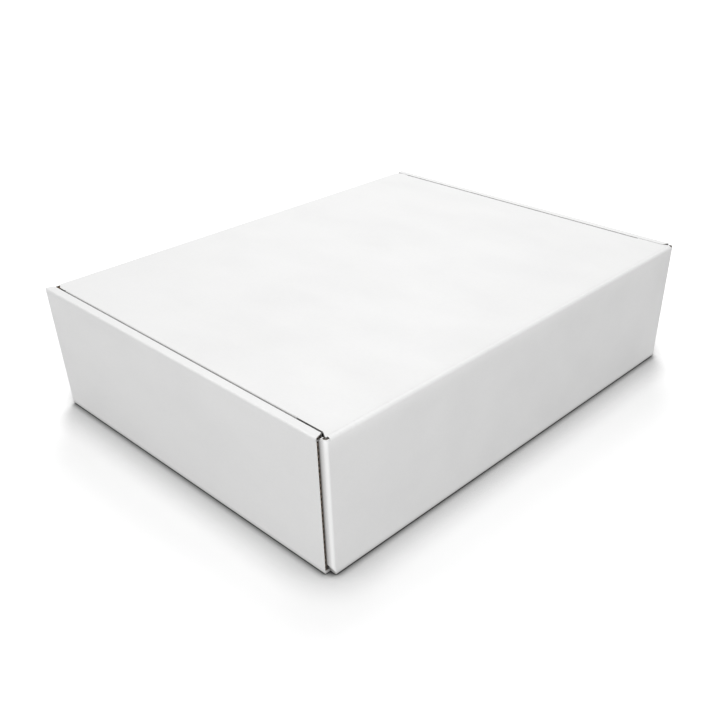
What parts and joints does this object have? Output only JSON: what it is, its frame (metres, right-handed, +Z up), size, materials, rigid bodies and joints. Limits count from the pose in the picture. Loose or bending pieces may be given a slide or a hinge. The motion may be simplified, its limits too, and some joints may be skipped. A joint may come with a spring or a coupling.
{
  "type": "corrugated mailer box",
  "caption": "Flat rectangular mailer box folded from white-faced corrugated board, with rolled side walls and a rear-hinged tuck lid that has wings.",
  "frame": {"origin": "on the floor under the middle of the closed box, at the centre of its footprint", "axes": "+X along the long side, parallel to the lid's crease; +Y out through the rear wall, which carries the lid, so the opening side faces -Y; +Z up"},
  "size_m": [0.32, 0.25, 0.082],
  "materials": {
    "white_board": "matte, clay-coated white liner",
    "lid_board": "matte, clay-coated white liner"
  },
  "bodies": {
    "tray": {"tray": "white_board"},
    "lid": {"lid": "lid_board"}
  },
  "joints": [
    {"name": "lid_crease", "type": "hinge", "parent": "tray", "child": "lid", "pos_m": [0, 0.125, 0.082], "axis": [-1, 0, 0], "range_deg": [0, 180]}
  ]
}
